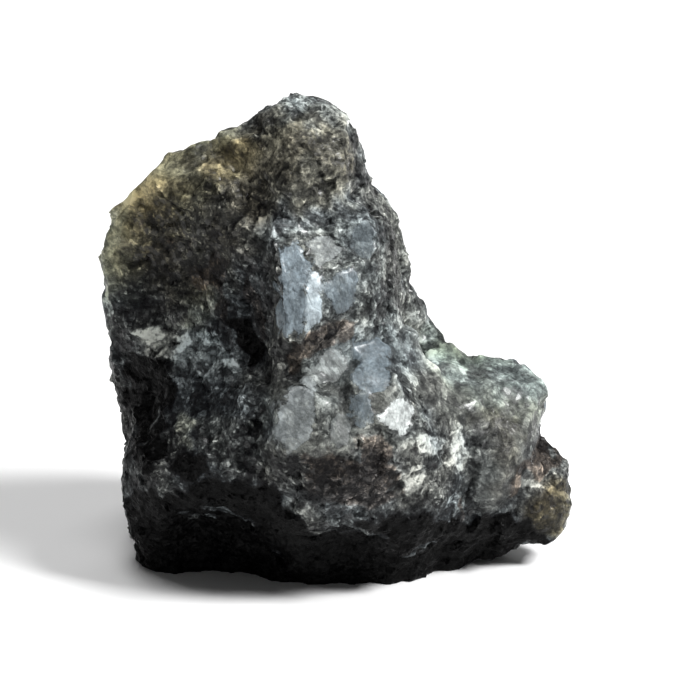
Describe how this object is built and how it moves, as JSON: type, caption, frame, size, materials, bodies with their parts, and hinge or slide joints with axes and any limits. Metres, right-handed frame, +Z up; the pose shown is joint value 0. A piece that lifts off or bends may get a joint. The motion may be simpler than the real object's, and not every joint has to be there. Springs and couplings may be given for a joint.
{
  "type": "rough labradorite chunk",
  "caption": "Broken lump of dark grey-green feldspar rock with a tall block, a long foot and pale cleavage faces, standing on a flat cleavage face.",
  "frame": {"origin": "middle of the underside of the chunk's bounding box, on the surface it stands on", "axes": "+Z up, -Y towards the broad front with the pale cleavage faces, +X towards the low foot"},
  "size_m": [0.052, 0.038, 0.054],
  "materials": {
    "labradorite": "rough broken rock with glossy cleavage faces"
  },
  "bodies": {
    "root": {"labradorite_chunk": "labradorite"}
  },
  "joints": []
}
